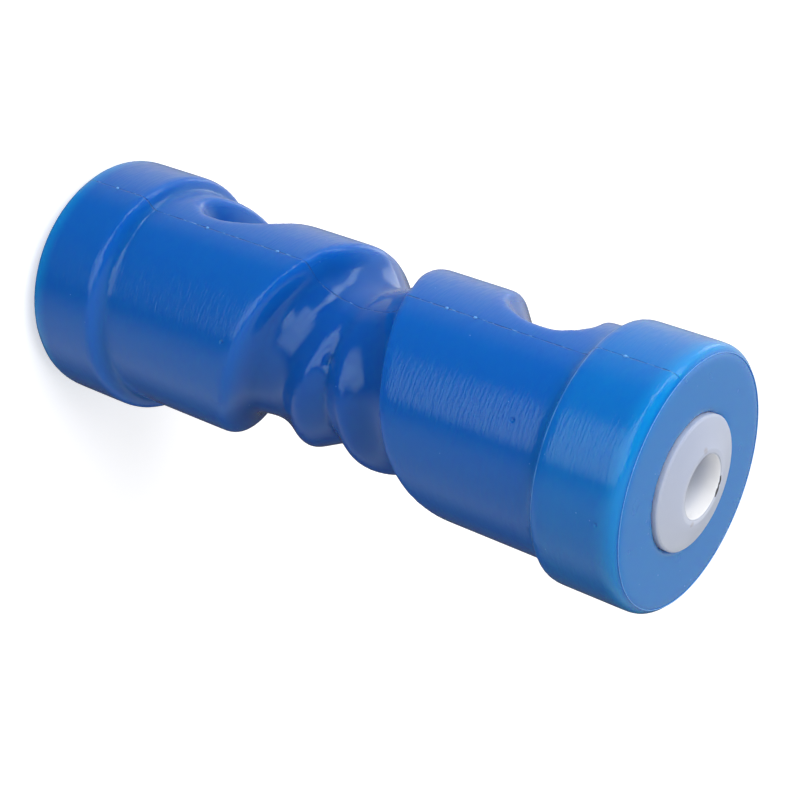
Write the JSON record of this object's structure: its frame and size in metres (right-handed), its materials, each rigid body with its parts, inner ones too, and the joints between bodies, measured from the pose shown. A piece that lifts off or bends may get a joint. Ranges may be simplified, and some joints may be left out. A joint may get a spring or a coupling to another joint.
{
  "type": "boat trailer roller",
  "caption": "Boat trailer keel roller: a waisted moulded body with winding water channels, raised end collars and a flanged plain bush pressed into each end.",
  "frame": {"origin": "middle of the roller, on its axis", "axes": "+Z along the roller's axis towards the end that the picture shows; +X through the mould's parting line"},
  "size_m": [0.071, 0.071, 0.2066],
  "materials": {
    "blue_polymer": "waxy moulded polymer, slightly translucent",
    "white_nylon": "satin moulded nylon"
  },
  "bodies": {
    "root": {"roller_body": "blue_polymer", "bush_near": "white_nylon", "bush_far": "white_nylon"}
  },
  "joints": []
}
